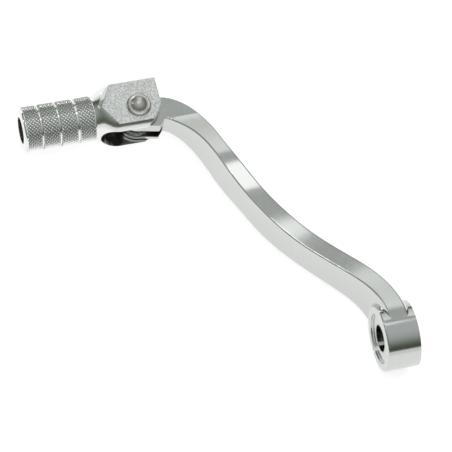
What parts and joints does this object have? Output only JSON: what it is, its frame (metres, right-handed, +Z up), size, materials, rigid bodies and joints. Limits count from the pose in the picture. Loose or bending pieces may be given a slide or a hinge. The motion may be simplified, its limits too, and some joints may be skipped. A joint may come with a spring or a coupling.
{
  "type": "gear shift lever",
  "caption": "Forged gear shift lever with a serrated clamp boss at one end and a spring-return folding knurled toe peg at the other.",
  "frame": {"origin": "middle of the serrated bore, at half the width of the boss", "axes": "+X towards the rear of the machine, +Y inboard along the shift shaft, +Z up; the lever lies level"},
  "size_m": [0.1482, 0.1357, 0.0274],
  "materials": {
    "polished_aluminium": "polished",
    "blasted_aluminium": "blasted and clear anodised, knurled peg",
    "rivet_steel": "satin",
    "washer_steel": "satin",
    "bush_bronze": "sintered",
    "shim_plastic": "moulded acetal",
    "spring_steel": "drawn wire",
    "bolt_steel": "zinc plated"
  },
  "bodies": {
    "lever": {"lever_arm": "polished_aluminium", "pivot_bush": "bush_bronze", "shim_upper": "shim_plastic", "shim_lower": "shim_plastic", "return_spring": "spring_steel", "pinch_bolt": "bolt_steel"},
    "tip": {"folding_tip": "blasted_aluminium", "pivot_rivet": "rivet_steel", "rivet_washer": "washer_steel"}
  },
  "joints": [
    {"name": "tip_fold", "type": "hinge", "parent": "lever", "child": "tip", "pos_m": [-0.1192, -0.0799, 0], "axis": [0, 0, 1], "range_deg": [0, 90], "stiffness_Nm_per_rad": 0.25, "springref_deg": -34.38, "deforming": ["return_spring"]}
  ]
}
